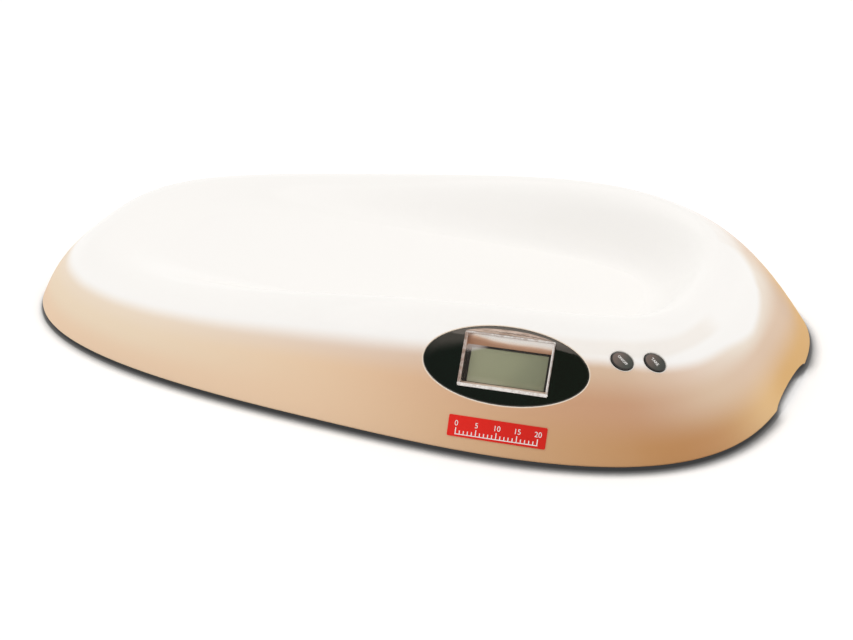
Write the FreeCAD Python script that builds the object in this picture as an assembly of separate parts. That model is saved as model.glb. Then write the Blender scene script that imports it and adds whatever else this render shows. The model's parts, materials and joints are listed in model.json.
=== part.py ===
import FreeCAD, Part
import math
import os
from FreeCAD import Matrix, Placement, Rotation, Vector

# Digital baby weighing scale.  +X is the head end, -Y the display side, +Z up, z = 0 the table.
# All sizes are millimetres.

# Cradle outline at the lower edge of the skirt
length = 600.0
side_foot = 179.8  # half-width law, read at the foot tip, the middle and the head tip
side_middle = 179.4
side_head = 209.6
end_exponent = 0.834  # under 1 squares the outline up
side_exponent = 0.674
edge_height = 3.0  # the skirt's lower edge above the table

# Rolled crest of the cradle, heights above the skirt's lower edge
crest_foot = 45.8
crest_middle = 72.3
crest_shoulder = 84.2
crest_head = 73.6
shoulder_station = 0.5
crest_inset_foot = 50.1
crest_inset_head = 72.5
lean_foot = 0.368  # how far the wall leans in, as a share of the crest height
lean_head = 0.572
wall_fullness = 0.912

# Weighing tray inside the crest
tray_floor = 40.0  # above the skirt's lower edge
tray_run = 48.0  # width of the slope between crest and floor
slope_start = 0.34  # how long the slope stays level by the crest, and by the floor
slope_end = 0.62
wall = 3.0
lower_edge_round = 1.0

# Sampling of the skin
rim_stations = 56
skirt_spans = 9
tray_spans = 5
sew_tolerance = 1e-3

# Finger arches and the cups behind them, one at each tip
arch_width = 80.0
arch_height = 5.4
cup_reach = 34.0
cup_side_step = 2.0
cup_head_room = 8.6  # above the arch, for finger tips
cup_wall = 2.0
cup_setback = 8.0

# Bottom cover
cover_lift = 1.0  # cover face above the skirt's lower edge
cover_thickness = 3.0
cover_gap = 0.5
rim_wall = 2.0
rim_height = 6.0

# Cover screws and the columns that take them
column_from_tip = 150.0
column_from_floor_side = 22.1
middle_column_from_floor_side = 15.1
column_radius = 4.5
cover_screw_radius = 1.75
cover_screw_length = 16.0
cover_head_radius = 3.4
cover_head_height = 1.5
cover_head_gap = 0.3
cover_pilot_spare = 1.0
screw_gap = 0.06
screw_hole_gap = 0.2
pilot_spare = 0.5
recess_depth = 0.6  # cross recess of every screw, as shares of the head's height and radius
recess_arm = 0.62
recess_slot = 0.14

# Ribs under the tray, in pairs each side of the middle
rib_from_column = 40.0
rib_thickness = 2.0
rib_depth = 12.0
rib_from_floor_side = 8.1

# Feet and load cells
cell_from_tip = 105.0
cell_from_side = 79.4
cell_size = 34.0
cell_corner = 3.0
cell_thickness = 2.5
cell_slot = 2.5
cell_bridge = 5.0  # plate left at the root of the slot
tongue_width = 11.0
tongue_length = 22.0
foot_radius = 16.0
foot_height = 4.0
foot_edge_round = 1.0
foot_neck_radius = 5.0
foot_hole_gap = 2.0
pad_step = 1.5
pad_height = 2.0
pad_edge_round = 0.6
pad_groove_radius = 9.0
pad_groove_width = 2.0
pad_groove_depth = 0.6
cell_ledge_height = 5.0
cell_ledge_width = 5.0
cell_ledge_margin = 1.0
clamp_width = 8.0
clamp_thickness = 2.0
clamp_screw_margin = 5.0
clamp_hole_margin = 4.0
clamp_end_margin = 2.0
clamp_post_radius = 3.5
gauge_size = (7.0, 5.0, 0.8)

# Small screws in posts
post_radius = 3.0
small_screw_radius = 1.2
small_screw_length = 6.0
small_head_radius = 2.4
small_head_height = 1.5

# Batteries and their bay, under the middle of the tray
battery_radius = 7.2
battery_length = 49.5
battery_nub_radius = 2.6
battery_nub_length = 1.0
battery_side_gap = 0.4
battery_end_gap = 0.3
battery_count = 4
battery_gap = 0.3
bay_x = -20.0
bay_wall = 2.0
bay_head_room = 0.6
divider_thickness = 1.2
divider_depth = 4.0
spring_room = 5.0
contact_thickness = 0.4
contact_width = 10.0
contact_height = 11.0
spring_radius = 3.2
spring_wire_radius = 0.4
spring_turns = 3
door_thickness = 2.0
door_gap = 0.4
door_tab_width = 10.0
door_tab_reach = 1.5
door_tab_thickness = 0.8
door_tab_side_gap = 0.5
door_tab_end_gap = 0.2
door_tab_swing = 3.0  # room above the cover for a tab as the door turns
door_lip = 1.0
latch_width = 16.0
latch_depth = 7.0
latch_slot = 1.2
grip_rows = 3
grip_pitch = 3.0
grip_groove = 1.0
grip_half_width = 5.0
grip_depth = 0.6

# Main board; the parts on it are placed from its middle
board_from_bay = 50.0
board_y = -4.0
board_length = 84.0
board_width = 60.0
board_thickness = 1.6
board_corner = 2.0
board_lift = 5.0
board_post_inset = 4.0
microcontroller = (16.0, 4.0, 14.0, 10.0, 2.0, 10)  # x, y, width, depth, height, legs on a side
weighing_converter = (-12.0, 4.0, 10.0, 6.0, 1.8, 7)
chip_corner = 0.4
chip_stand = 0.1
leg_reach = 1.2
leg_thickness = 0.4
capacitor = (-30.0, -14.0, 4.0, 10.0)  # x, y, radius, height
buzzer = (26.0, 18.0, 6.0, 7.0)
round_part_edge = 0.6
header_size = (8.0, 6.0, 6.0)
header_wall = 0.8
header_back = 1.0
header_edge_margin = 0.5
sensor_header_x = {"left": -24.0, "right": 4.0}
display_header_x = 22.0
battery_header_y = 4.0
button_header_y = -2.0

# Display, set square to the skirt at its centre
display_from_tip = 171.5
display_below_shoulder = 28.9
bezel_end_margin = 26.85  # from the lens to the ends of the oval, and to its top and bottom
bezel_edge_margin = 7.85
bezel_gap = 0.25
bezel_hole_round = 0.5
bezel_round = 0.5
bezel_recess = 0.15
bezel_flange = 4.0
bezel_flange_thickness = 1.8
lens_centre_u = 0.9
lens_centre_v = 1.7
lens_length = 65.3
lens_height = 39.3
lens_corner = 1.2
lens_edge_round = 0.4
lens_gap = 0.15
lens_front = -0.5
lens_thickness = 1.2
lens_depth = 8.5
flange_gap = 0.1  # between the bezel's flange and the wall, and round the frame in the lens
frame_wall = 0.6
frame_depth = 5.0
window_left_margin = 4.95  # from the lens to the seen part of the glass
window_right_margin = 4.55
window_bottom_margin = 4.55
window_top_margin = 9.95
shelf_margin = 1.5  # mask left bare between the shelf and the glass
sill_margin = 0.3  # and along the bottom
mask_thickness = 0.5
glass_thickness = 2.6
glass_margin = 0.4
strip_height = 2.5
strip_width = 2.5
strip_end_margin = 2.0
strip_side_margin = 1.0
display_post_margin = 9.35
display_post_v = 12.0
display_board_margin = 5.0
display_board_trim = 1.3  # the board is this much lower than the lens

# Buttons, beside the display
button_from_bezel = 9.6
button_spread = 3.9  # spacing of the two centres beyond the length of a button
button_rise = (6.2, 3.3)  # of each centre above the display's centre
button_half_length = 8.1
button_half_width = 5.8
button_turn = -37.0
button_gap = 0.35
button_hole_round = 0.9
button_round = 0.9
button_proud = 1.2
button_body = 4.0
button_neck_top = 2.2
button_flange = 1.4
button_flange_drop = 1.6  # below the inside of the wall
button_flange_thickness = 1.2
button_travel = 0.8
stem_radius = 2.4
stem_length = 2.0
plunger_radius = 1.7
plunger_stand = 1.5
plunger_reach = 1.5
plunger_gap = 0.1
plunger_spare = 0.3
switch_size = 6.2
switch_corner = 0.6
switch_height = 3.5
button_board_length = 62.0
button_board_width = 20.0
button_post_offset = 26.0

# Blank label
label_from_tip = 167.4
label_above_edge = 15.9
label_length = 71.0
label_width = 15.0
label_corner = 1.0
label_thickness = 0.4

# Leads, whose routes are points chosen by hand
cell_lead_radius = 1.4
display_lead_radius = 1.8
lead_in_header = 1.5
bend_share = 0.45

# Worked out from the sizes above
half_length = length / 2
cut_depth = 20.0
cut_rise = 10.0
weld = 0.5  # overlap of what is fused to its base
cup_roof = edge_height + arch_height + cup_head_room
cover_bottom = edge_height + cover_lift
cover_top = cover_bottom + cover_thickness
floor_top = edge_height + tray_floor
floor_side = side_middle - (crest_inset_foot + crest_inset_head) / 2 - tray_run
column_x = half_length - column_from_tip
column_y = floor_side - column_from_floor_side
middle_column_y = floor_side - middle_column_from_floor_side
outer_rib_x = column_x - rib_from_column
rib_half_width = floor_side - rib_from_floor_side
cell_x = half_length - cell_from_tip
cell_y = side_middle - cell_from_side
foot_hole_radius = foot_radius + foot_hole_gap
pad_radius = foot_radius - pad_step
clamp_screw_offset = max(cell_size / 2 + clamp_screw_margin, foot_hole_radius + clamp_hole_margin)
cell_base = cover_top + cell_ledge_height
cell_top = cell_base + cell_thickness
battery_pitch = 2 * battery_radius + battery_side_gap
bay_half_x = (battery_pitch * battery_count + 2 * battery_side_gap) / 2
bay_half_y = (battery_length + battery_nub_length + spring_room) / 2 + contact_thickness + battery_end_gap
bay_roof = cover_bottom + door_thickness + battery_gap + 2 * battery_radius + bay_head_room
battery_axis = cover_bottom + door_thickness + battery_gap + battery_radius
board_x = bay_x + bay_half_x + bay_wall + board_from_bay + board_length / 2
middle_column_x = bay_x + bay_half_x + bay_wall + board_from_bay / 2
board_low = cover_top + board_lift
board_top = board_low + board_thickness
bezel_half_length = lens_length / 2 + bezel_end_margin
bezel_half_height = lens_height / 2 + bezel_edge_margin
window_left = lens_centre_u - lens_length / 2 + window_left_margin
window_right = lens_centre_u + lens_length / 2 - window_right_margin
window_bottom = lens_centre_v - lens_height / 2 + window_bottom_margin
window_top = lens_centre_v + lens_height / 2 - window_top_margin
display_x = half_length - display_from_tip
display_z = edge_height + crest_shoulder - display_below_shoulder
display_post_u = lens_length / 2 + display_post_margin
display_board_half_u = display_post_u + display_board_margin
display_board_half_v = (lens_height - display_board_trim) / 2
frame_shrink = lens_thickness + flange_gap
frame_front = lens_front - frame_shrink
frame_back = frame_front - frame_depth
mask_back = frame_back - mask_thickness
glass_back = mask_back - glass_thickness
strip_back = glass_back - strip_height
display_board_back = strip_back - board_thickness
first_button_x = display_x + bezel_half_length + button_from_bezel + button_half_length
second_button_x = first_button_x + 2 * button_half_length + button_spread
flange_top = -(wall + button_flange_drop)
flange_low = flange_top - button_flange_thickness
stem_end = flange_low - stem_length
switch_top = stem_end - plunger_stand
button_board_top = switch_top - switch_height
button_board_back = button_board_top - board_thickness
X = Vector(1, 0, 0)
Y = Vector(0, 1, 0)
Z = Vector(0, 0, 1)


# ---------------------------------------------------------------- skin of the cradle


def law(at, knots):
    """Value at one station of the polynomial through (station, value) pairs."""
    total = 0.0
    for i, (xi, yi) in enumerate(knots):
        share = yi
        for j, (xj, _) in enumerate(knots):
            if j != i:
                share *= (at - xj) / (xi - xj)
        total += share
    return total


def half_width(c):
    return law(c, ((-1, side_foot), (0, side_middle), (1, side_head)))


def crest_height(c):
    return law(c, ((-1, crest_foot), (0, crest_middle), (shoulder_station, crest_shoulder), (1, crest_head)))


def crest_inset(c):
    return law(c, ((-1, crest_inset_foot), (1, crest_inset_head)))


def profile(c, v):
    """Inset and height of the section at v: 0 lower edge, 1 crest, 2 edge of the tray floor."""
    top = crest_height(c)
    inset = crest_inset(c)
    if v <= 1:
        lean = law(c, ((-1, lean_foot), (1, lean_head))) * top
        middle = 2 * wall_fullness * v * (1 - v)
        share = (1 - v) ** 2 + middle + v * v
        return (middle * lean + v * v * inset) / share, (middle + v * v) * top / share
    s = v - 1
    run = 3 * s * (1 - s) ** 2 * slope_start + 3 * s * s * (1 - s) * slope_end + s**3
    drop = 3 * s * s * (1 - s) + s**3
    return inset + tray_run * run, top + (tray_floor - top) * drop


def signed_power(value, exponent):
    return math.copysign(abs(value) ** exponent, value)


def skin_point(c, s, v):
    inset, height = profile(c, v)
    return Vector((half_length - inset) * c, (half_width(c) - inset) * s, edge_height + height)


def outline_factors(angle):
    """Shares of the half-length and the half-width at an angle round the outline, up to half a turn."""
    return signed_power(math.cos(angle), end_exponent), max(math.sin(angle), 0.0) ** side_exponent


def rim_directions():
    """Evenly spaced stations round the rim, each a pair of outline factors, mirrored in Y."""
    steps = 720
    dense = [outline_factors(math.pi * i / steps) for i in range(steps + 1)]
    outline = [skin_point(c, s, 0) for c, s in dense]
    travelled = [0.0]
    for before, after in zip(outline, outline[1:]):
        travelled.append(travelled[-1] + after.distanceToPoint(before))
    half = rim_stations // 2
    picked = []
    for k in range(half + 1):
        goal = travelled[-1] * k / half
        i = min(max(1, next(n for n, t in enumerate(travelled) if t >= goal - 1e-9)), steps)
        mix = (goal - travelled[i - 1]) / (travelled[i] - travelled[i - 1])
        picked.append(outline_factors(math.pi * (i - 1 + mix) / steps))
    picked[0] = (1.0, 0.0)
    picked[-1] = (-1.0, 0.0)
    return picked + [(c, -s) for c, s in reversed(picked[1:-1])]


def section_values():
    """v of each pole row, at the spacing that a clamped cubic wants at its two ends."""
    spans = skirt_spans + tray_spans
    rows = [0, 1 / 3] + list(range(1, spans)) + [spans - 1 / 3, spans]
    return [r / skirt_spans if r <= skirt_spans else 1 + (r - skirt_spans) / tray_spans for r in rows]


def sharpened(before, here, after):
    """Pole that makes a uniform cubic pass close to the middle point."""
    return here + (here * 2 - before - after) * (1 / 6)


def base_grid():
    directions = rim_directions()
    return [[skin_point(c, s, v) for v in section_values()] for c, s in directions]


GRID = base_grid()


def skin_poles(depth):
    """Pole grid of the skin set in by a depth; the first row stays on the plane of the lower edge."""
    count = len(GRID)
    rows = len(GRID[0])
    moved = []
    for i in range(count):
        line = []
        for j in range(rows):
            across = GRID[(i + 1) % count][j] - GRID[i - 1][j]
            up = GRID[i][min(j + 1, rows - 1)] - GRID[i][max(j - 1, 0)]
            normal = across.cross(up).normalize()
            if j == rows - 1:
                normal = Vector(Z)
            if j == 0:
                flat = Vector(normal.x, normal.y, 0)
                normal = flat * (1 / flat.Length**2)
            line.append(GRID[i][j] - normal * depth)
        moved.append(line)
    around = []
    for i in range(count):
        before, after = moved[i - 1], moved[(i + 1) % count]
        around.append([sharpened(before[j], moved[i][j], after[j]) for j in range(rows)])
    poles = []
    for line in around:
        inner = [sharpened(line[j - 1], line[j], line[j + 1]) for j in range(3, rows - 3)]
        poles.append(line[:3] + inner + line[-3:])
    return poles


def skin_face(depth):
    poles = skin_poles(depth)
    count = len(poles)
    rows = len(poles[0])
    surface = Part.BSplineSurface()
    surface.buildFromPolesMultsKnots(
        poles,
        [1] * (count + 1),
        [4] + [1] * (rows - 4) + [4],
        list(range(count + 1)),
        list(range(rows - 2)),
        True,
        False,
        3,
        3,
    )
    return surface.toShape()


def level_wire(face, height):
    """The closed edge of a skin that lies at a height."""
    for edge in face.Edges:
        box = edge.BoundBox
        if abs(box.ZMin - height) < 0.01 and abs(box.ZMax - height) < 0.01:
            return Part.Wire([edge])
    raise ValueError("no edge at height %.2f" % height)


def closed(faces):
    shell = Part.Shell(faces)
    shell.sewShape()
    solid = Part.Solid(shell)
    solid.fix(sew_tolerance, sew_tolerance, sew_tolerance)
    return solid


def skin_solid(outer, inner):
    """Wall between two depths of the skin, from the lower edge over the crest to the tray floor."""
    skins = [skin_face(outer), skin_face(inner)]
    edges = [Part.Face(level_wire(face, edge_height)) for face in skins]
    floors = [Part.Face(level_wire(face, floor_top - d)) for face, d in zip(skins, (outer, inner))]
    return closed(skins + floors + edges[0].cut(edges[1]).Faces)


def room(depth):
    """Everything below the skin at a depth, down to the plane of the lower edge."""
    skin = skin_face(depth)
    return closed(
        [skin, Part.Face(level_wire(skin, edge_height)), Part.Face(level_wire(skin, floor_top - depth))]
    )


ROOM_TO_MID_WALL = room(wall / 2)
ROOM_FOR_COVER = room(wall + cover_gap)


def skirt_point(x, z):
    """Point and outward normal on the display side of the skirt at an x and a height."""
    c = x / half_length
    v = 0.5
    for _ in range(40):
        low, high = 0.0, 1.0
        for _ in range(40):
            v = (low + high) / 2
            if edge_height + profile(c, v)[1] < z:
                low = v
            else:
                high = v
        c = x / (half_length - profile(c, v)[0])

    def at(cc, vv):
        s = -((1 - abs(cc) ** (2 / end_exponent)) ** (side_exponent / 2))
        return skin_point(cc, s, vv)

    step = 1e-4
    along = at(c + step, v) - at(c - step, v)
    up = at(c, v + step) - at(c, v - step)
    return at(c, v), along.cross(up).normalize()


def frame_along(along, normal, point):
    """Placement at a point whose Z is the normal and whose X runs along a direction square to it."""
    rise = normal.cross(along)
    return Placement(
        Matrix(
            along.x, rise.x, normal.x, point.x,
            along.y, rise.y, normal.y, point.y,
            along.z, rise.z, normal.z, point.z,
            0, 0, 0, 1,
        )
    )


def frame_on(point, normal):
    """Placement whose Z is the normal and whose X is level, towards the head end."""
    return frame_along(Z.cross(normal).normalize(), normal, point)


# ---------------------------------------------------------------- plain shapes


def placed(shape, placement):
    moved = shape.copy()
    moved.Placement = placement.multiply(moved.Placement)
    return moved


def box(x, y, z, corner=0.0):
    """Box from (low, high) pairs, its upright corners rounded."""
    solid = Part.makeBox(x[1] - x[0], y[1] - y[0], z[1] - z[0], Vector(x[0], y[0], z[0]))
    if corner:
        upright = [e for e in solid.Edges if abs(e.Vertexes[0].Z - e.Vertexes[1].Z) > 1e-6]
        solid = solid.makeFillet(corner, upright)
    return solid


def rod(radius, low, high, x=0.0, y=0.0):
    return Part.makeCylinder(radius, high - low, Vector(x, y, low))


def oval(half_x, half_y, low, high, x=0.0, y=0.0, turn=0.0):
    """Upright elliptical prism."""
    wide = half_x >= half_y
    curve = Part.Ellipse(Vector(0, 0, 0), max(half_x, half_y), min(half_x, half_y))
    solid = Part.Face(Part.Wire([curve.toShape()])).extrude(Vector(0, 0, high - low))
    spin = turn if wide else turn + 90
    solid.Placement = Placement(Vector(x, y, low), Rotation(Z, spin))
    return solid


def rectangle(x, y, z):
    outline = [(x[0], y[0]), (x[1], y[0]), (x[1], y[1]), (x[0], y[1]), (x[0], y[0])]
    return Part.makePolygon([Vector(px, py, z) for px, py in outline])


def united(shapes):
    whole = shapes[0]
    if len(shapes) > 1:
        whole = whole.fuse(shapes[1:])
    return whole.removeSplitter()


def group(shapes):
    return Part.Compound(shapes)


def screw(x, y, seat, radius, shank, head_radius, head_height, drive_down=True):
    """Pan head screw whose head is seated at a height, with a cross recess; the shank points up."""
    turned = -1 if drive_down else 1
    low, high = sorted((seat, seat - turned * shank))
    body = rod(radius, low, high, x, y)
    low, high = sorted((seat, seat + turned * head_height))
    head = rod(head_radius, low, high, x, y)
    face = seat + turned * head_height
    low, high = sorted((face, face - turned * head_height * recess_depth))
    arm = head_radius * recess_arm
    slot = head_radius * recess_slot
    cross = [
        box((x - arm, x + arm), (y - slot, y + slot), (low, high)),
        box((x - slot, x + slot), (y - arm, y + arm), (low, high)),
    ]
    return united([head, body]).cut(cross)


def small_screws(spots, seat, grip, drive_down=True):
    """Screws through a plate of a thickness into their posts."""
    shank = grip + small_screw_length - pilot_spare
    sizes = (small_screw_radius, shank, small_head_radius, small_head_height)
    return group([screw(x, y, seat, *sizes, drive_down) for x, y in spots])


def pilots(spots, face, way):
    """Holes for small screws into posts from their end faces, up for a way of 1 and down for -1."""
    low, high = sorted((face - way, face + way * small_screw_length))
    return [rod(small_screw_radius + screw_gap, low, high, x, y) for x, y in spots]


def clear_holes(spots, low, high):
    """Holes that small screws pass through."""
    return [rod(small_screw_radius + screw_hole_gap, low - 1, high + 1, x, y) for x, y in spots]


def lead(points, radius):
    """Round lead along straight runs joined by tangent arcs."""
    path = [Vector(*p) for p in points]
    edges = []
    start = path[0]
    for before, corner, after in zip(path, path[1:], path[2:]):
        into = (corner - before).normalize()
        out = (after - corner).normalize()
        turn = into.getAngle(out)
        reach = bend_share * min(corner.distanceToPoint(before), after.distanceToPoint(corner))
        bend = reach / math.tan(turn / 2)
        first = corner - into * reach
        last = corner + out * reach
        inward = (out - into).normalize()
        centre = corner + inward * (bend / math.cos(turn / 2))
        middle = centre - inward * bend
        edges.append(Part.LineSegment(start, first).toShape())
        edges.append(Part.Arc(first, middle, last).toShape())
        start = last
    edges.append(Part.LineSegment(start, path[-1]).toShape())
    direction = (path[1] - path[0]).normalize()
    section = Part.Wire([Part.Circle(path[0], direction, radius).toShape()])
    return Part.Wire(edges).makePipeShell([section], True, False)


def oval_edge(solid, frame, half_x, half_y, turn=0.0):
    """Outermost edge of a solid that runs all the way round an oval of a frame."""
    back = frame.inverse()
    spin = Rotation(Z, -turn)
    found = []
    for edge in solid.Edges:
        span = edge.LastParameter - edge.FirstParameter
        points = [back.multVec(edge.valueAt(edge.FirstParameter + span * k / 9)) for k in range(1, 9)]
        flat = [spin.multVec(q) for q in points]
        on_oval = all(abs((q.x / half_x) ** 2 + (q.y / half_y) ** 2 - 1) < 0.02 for q in flat)
        if on_oval and edge.Length > 2 * max(half_x, half_y):
            found.append((sum(q.z for q in points), edge))
    return max(found, key=lambda pair: pair[0])[1]


def corners(x, y):
    return [(sx * x, sy * y) for sx in (-1, 1) for sy in (-1, 1)]


COLUMNS = corners(column_x, column_y) + [(middle_column_x, side * middle_column_y) for side in (-1, 1)]
DISPLAY = frame_on(*skirt_point(display_x, display_z))
BUTTON_SEATS = [
    skirt_point(x, display_z + rise) for x, rise in zip((first_button_x, second_button_x), button_rise)
]
BUTTON_AXIS = (BUTTON_SEATS[0][1] + BUTTON_SEATS[1][1]).normalize()
BUTTON_LEVEL = sum(point.dot(BUTTON_AXIS) for point, _ in BUTTON_SEATS) / len(BUTTON_SEATS)
BUTTONS = [
    frame_on(point + BUTTON_AXIS * (BUTTON_LEVEL - point.dot(BUTTON_AXIS)), BUTTON_AXIS)
    for point, _ in BUTTON_SEATS
]
BUTTON_NAMES = ("power", "tare")


# ---------------------------------------------------------------- cradle shell


def arch(side):
    """Half-oval cut through the skirt at one tip."""
    cut = placed(oval(arch_height, arch_width / 2, 0, cup_reach), Placement(Vector(), Rotation(Y, 90)))
    inner_end = side * half_length - (cup_reach if side > 0 else 0)
    return placed(cut, Placement(Vector(inner_end, 0, edge_height), Rotation()))


def bezel_prism(grow, low, high):
    shape = oval(bezel_half_length + grow, bezel_half_height + grow, low, high)
    return placed(shape, DISPLAY)


def button_prism(frame, grow, low, high):
    shape = oval(button_half_length + grow, button_half_width + grow, low, high, turn=button_turn)
    return placed(shape, frame)


def button_board_frame():
    """Middle between the two buttons, its X along their line."""
    first, second = BUTTONS[0].Base, BUTTONS[1].Base
    along = second - first
    along = (along - BUTTON_AXIS * along.dot(BUTTON_AXIS)).normalize()
    return frame_along(along, BUTTON_AXIS, (first + second) * 0.5)


BUTTON_BOARD = button_board_frame()
BUTTON_POSTS = [(-button_post_offset, 0.0), (button_post_offset, 0.0)]


def cradle_shell():
    shell = skin_solid(0.0, wall)
    level = [e for e in shell.Edges if abs(e.BoundBox.ZMax - edge_height) < 0.01]
    shell = shell.makeFillet(lower_edge_round, [max(level, key=lambda e: e.Length)])
    additions = [rod(column_radius, cover_top, floor_top - wall / 2, x, y) for x, y in COLUMNS]
    for x in (-outer_rib_x, -outer_rib_x / 2, outer_rib_x / 2, outer_rib_x):
        rib = box(
            (x - rib_thickness / 2, x + rib_thickness / 2),
            (-rib_half_width, rib_half_width),
            (floor_top - wall - rib_depth, floor_top - wall / 2),
        )
        additions.append(rib)
    for x, y in BUTTON_POSTS:
        post = placed(rod(post_radius, button_board_top, cut_rise, x, y), BUTTON_BOARD)
        additions.append(post.common(ROOM_TO_MID_WALL))
    shell = shell.fuse(additions)
    cuts = [arch(-1), arch(1), bezel_prism(bezel_gap, -cut_depth, cut_rise)]
    for frame in BUTTONS:
        cuts.append(button_prism(frame, button_gap, flange_top, cut_rise))
    for x, y in COLUMNS:
        cuts.append(rod(cover_screw_radius + screw_gap, cover_top - 1, cover_top + cover_screw_length, x, y))
    cuts += [placed(hole, BUTTON_BOARD) for hole in pilots(BUTTON_POSTS, button_board_top, 1)]
    shell = shell.cut(cuts)
    half_u, half_v = bezel_half_length + bezel_gap, bezel_half_height + bezel_gap
    shell = shell.makeFillet(bezel_hole_round, [oval_edge(shell, DISPLAY, half_u, half_v)])
    half_u, half_v = button_half_length + button_gap, button_half_width + button_gap
    for frame in BUTTONS:
        edge = oval_edge(shell, frame, half_u, half_v, button_turn)
        shell = shell.makeFillet(button_hole_round, [edge])
    return shell


def blank_label():
    frame = frame_on(*skirt_point(half_length - label_from_tip, edge_height + label_above_edge))
    half_u, half_v = label_length / 2, label_width / 2
    patch = box((-half_u, half_u), (-half_v, half_v), (-cut_depth, cut_rise), label_corner)
    return skin_solid(-label_thickness, 0.0).common(placed(patch, frame))


# ---------------------------------------------------------------- display


def lens_span(shrink):
    """Low and high u, then low and high v, of the lens set in by a margin."""
    u = (lens_centre_u - lens_length / 2 + shrink, lens_centre_u + lens_length / 2 - shrink)
    v = (lens_centre_v - lens_height / 2 + shrink, lens_centre_v + lens_height / 2 - shrink)
    return u, v


DISPLAY_POSTS = corners(display_post_u, display_post_v)


def display_bezel():
    plug = skin_solid(bezel_recess, wall + bezel_flange_thickness)
    plug = plug.common(bezel_prism(0, -cut_depth, cut_rise))
    plug = plug.makeFillet(bezel_round, [oval_edge(plug, DISPLAY, bezel_half_length, bezel_half_height)])
    flange = skin_solid(wall + flange_gap, wall + bezel_flange_thickness)
    flange = flange.common(bezel_prism(bezel_flange, -cut_depth, cut_rise))
    posts = [
        placed(rod(post_radius, strip_back, cut_rise, u, v), DISPLAY).common(ROOM_TO_MID_WALL)
        for u, v in DISPLAY_POSTS
    ]
    u, v = lens_span(-lens_gap)
    opening = placed(box(u, v, (-cut_depth, cut_rise), lens_corner), DISPLAY)
    holes = [placed(hole, DISPLAY) for hole in pilots(DISPLAY_POSTS, strip_back, 1)]
    return plug.fuse([flange] + posts).cut([opening] + holes)


def display_lens():
    u, v = lens_span(0)
    outside = box(u, v, (-lens_depth, lens_front), corner=lens_corner)
    front_edges = [e for e in outside.Edges if e.BoundBox.ZMin > lens_front - 0.01]
    outside = outside.makeFillet(lens_edge_round, front_edges)
    u, v = lens_span(lens_thickness)
    inside = box(u, v, (-lens_depth - 1, lens_front - lens_thickness))
    return placed(outside.cut(inside), DISPLAY)


def shelf_span():
    """Opening at the back of the frame; its ends leave the mask bare beside the glass."""
    u, _ = lens_span(frame_shrink + frame_wall)
    v = (window_bottom - sill_margin, window_top + shelf_margin)
    return u, v


def lcd_frame():
    """Light frame behind the lens; its top and bottom slope down to the glass."""
    u, v = lens_span(frame_shrink)
    body = box(u, v, (frame_back, frame_front))
    front = rectangle(*lens_span(frame_shrink + frame_wall), frame_front + 0.01)
    back = rectangle(*shelf_span(), frame_back - 0.01)
    return placed(body.cut(Part.makeLoft([front, back], True)), DISPLAY)


def lcd_mask():
    u, v = lens_span(frame_shrink)
    plate = box(u, v, (mask_back, frame_back))
    window = box((window_left, window_right), (window_bottom, window_top), (mask_back - 1, frame_back + 1))
    return placed(plate.cut(window), DISPLAY)


def lcd_glass():
    """Two glasses; the rear one is longer, so that its contacts lie bare."""
    u, v = lens_span(frame_shrink + glass_margin)
    between = mask_back - glass_thickness / 2
    rear = box(u, v, (glass_back, between))
    front = box(u, (v[0] + strip_width, v[1] - strip_width), (between, mask_back))
    return placed(rear.fuse(front), DISPLAY)


def contact_strips():
    u, _ = lens_span(frame_shrink + strip_end_margin)
    _, v = lens_span(frame_shrink + strip_side_margin)
    low = box(u, (v[0], v[0] + strip_width), (strip_back, glass_back))
    high = box(u, (v[1] - strip_width, v[1]), (strip_back, glass_back))
    return placed(group([low, high]), DISPLAY)


def display_board():
    half_u, half_v = display_board_half_u, display_board_half_v
    board = box((-half_u, half_u), (-half_v, half_v), (display_board_back, strip_back), board_corner)
    return placed(board.cut(clear_holes(DISPLAY_POSTS, display_board_back, strip_back)), DISPLAY)


def display_screws():
    return placed(small_screws(DISPLAY_POSTS, display_board_back, board_thickness), DISPLAY)


# ---------------------------------------------------------------- buttons


def button(frame):
    cap = skin_solid(-button_proud, button_body).common(button_prism(frame, 0, -cut_rise, cut_rise))
    edge = oval_edge(cap, frame, button_half_length, button_half_width, button_turn)
    cap = cap.makeFillet(button_round, [edge])
    flange = button_prism(frame, button_flange, flange_low, flange_top)
    neck = button_prism(frame, 0, flange_low, -button_neck_top)
    stem = placed(rod(stem_radius, stem_end, flange_top), frame)
    return united([cap, neck, flange, stem])


def plunger(frame):
    return placed(rod(plunger_radius, switch_top - plunger_reach, stem_end), frame)


def tact_switch(frame):
    half = switch_size / 2
    body = box((-half, half), (-half, half), (button_board_top, switch_top), switch_corner)
    well_floor = switch_top - plunger_reach - button_travel - plunger_spare
    return placed(body.cut(rod(plunger_radius + plunger_gap, well_floor, switch_top + 1)), frame)


def button_board():
    half_u, half_v = button_board_length / 2, button_board_width / 2
    board = box((-half_u, half_u), (-half_v, half_v), (button_board_back, button_board_top), board_corner)
    return placed(board.cut(clear_holes(BUTTON_POSTS, button_board_back, button_board_top)), BUTTON_BOARD)


def button_board_screws():
    return placed(small_screws(BUTTON_POSTS, button_board_back, board_thickness), BUTTON_BOARD)


# ---------------------------------------------------------------- bottom cover


def cup(side, grow, low, high):
    """Upright oval behind a finger arch."""
    x = side * (half_length - cup_setback)
    return oval(cup_reach + grow, arch_width / 2 - cup_side_step + grow, low, high, x, 0)


def battery_x(index):
    return bay_x + (index - (battery_count - 1) / 2) * battery_pitch


def board_posts():
    half_x = board_length / 2 - board_post_inset
    half_y = board_width / 2 - board_post_inset
    return [(board_x + x, board_y + y) for x, y in corners(half_x, half_y)]


def clamp_spots(x, y):
    """Places of the two clamp screws of the load cell at x, y."""
    return [(x - clamp_screw_offset, y), (x + clamp_screw_offset, y)]


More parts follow.
